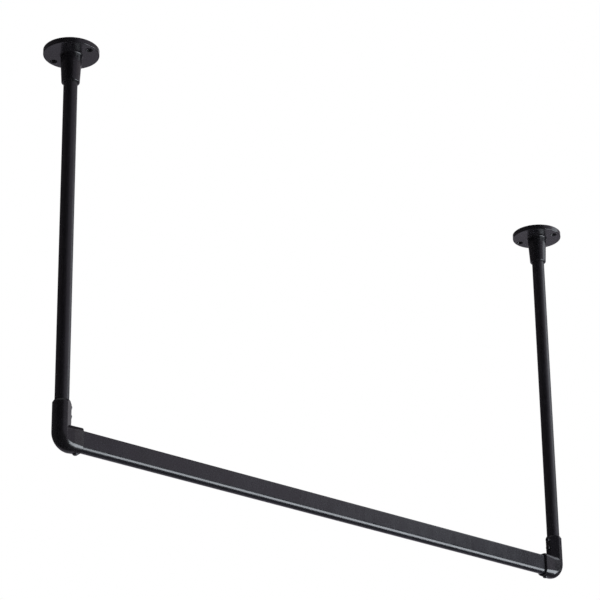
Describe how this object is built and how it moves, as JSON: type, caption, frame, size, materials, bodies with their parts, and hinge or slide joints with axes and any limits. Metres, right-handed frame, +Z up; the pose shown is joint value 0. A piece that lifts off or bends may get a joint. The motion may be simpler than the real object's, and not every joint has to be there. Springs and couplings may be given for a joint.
{
  "type": "ceiling-hung rail",
  "caption": "Black ceiling-hung hanging rail: round flanges with tapered necks, tubular posts, cast elbows with clamp screws, and a D-section rail.",
  "frame": {"origin": "in the ceiling plane, midway between the two post axes", "axes": "+X along the rail from the left post to the right post, +Y to the rear, +Z up into the ceiling"},
  "size_m": [1.045, 0.08, 0.6052],
  "materials": {
    "cast_body": "semi-gloss black powder coat over die-cast metal",
    "powder_coated_tube": "satin black powder coat over steel tube",
    "screw_steel": "black-finished steel, worn to grey on the recess edges"
  },
  "bodies": {
    "frame": {"left_ceiling_flange": "cast_body", "right_ceiling_flange": "cast_body", "left_post": "powder_coated_tube", "right_post": "powder_coated_tube", "left_elbow": "cast_body", "right_elbow": "cast_body", "rail": "powder_coated_tube"},
    "left_post_screw_upper": {"left_post_screw_upper": "screw_steel"},
    "left_post_screw_lower": {"left_post_screw_lower": "screw_steel"},
    "left_rail_screw": {"left_rail_screw": "screw_steel"},
    "left_flange_grub_screw": {"left_flange_grub_screw": "screw_steel"},
    "right_post_screw_upper": {"right_post_screw_upper": "screw_steel"},
    "right_post_screw_lower": {"right_post_screw_lower": "screw_steel"},
    "right_rail_screw": {"right_rail_screw": "screw_steel"},
    "right_flange_grub_screw": {"right_flange_grub_screw": "screw_steel"}
  },
  "joints": [
    {"name": "left_post_screw_upper_travel", "type": "slide", "parent": "frame", "child": "left_post_screw_upper", "axis": [1, 0, 0], "range_m": [0, 0.008]},
    {"name": "left_post_screw_lower_travel", "type": "slide", "parent": "frame", "child": "left_post_screw_lower", "axis": [1, 0, 0], "range_m": [0, 0.008]},
    {"name": "left_rail_screw_travel", "type": "slide", "parent": "frame", "child": "left_rail_screw", "axis": [0, 0, -1], "range_m": [0, 0.007]},
    {"name": "left_flange_grub_screw_travel", "type": "slide", "parent": "frame", "child": "left_flange_grub_screw", "axis": [0, 1, 0], "range_m": [0, 0.004]},
    {"name": "right_post_screw_upper_travel", "type": "slide", "parent": "frame", "child": "right_post_screw_upper", "axis": [-1, 0, 0], "range_m": [0, 0.008]},
    {"name": "right_post_screw_lower_travel", "type": "slide", "parent": "frame", "child": "right_post_screw_lower", "axis": [-1, 0, 0], "range_m": [0, 0.008]},
    {"name": "right_rail_screw_travel", "type": "slide", "parent": "frame", "child": "right_rail_screw", "axis": [0, 0, -1], "range_m": [0, 0.007]},
    {"name": "right_flange_grub_screw_travel", "type": "slide", "parent": "frame", "child": "right_flange_grub_screw", "axis": [0, 1, 0], "range_m": [0, 0.004]}
  ]
}
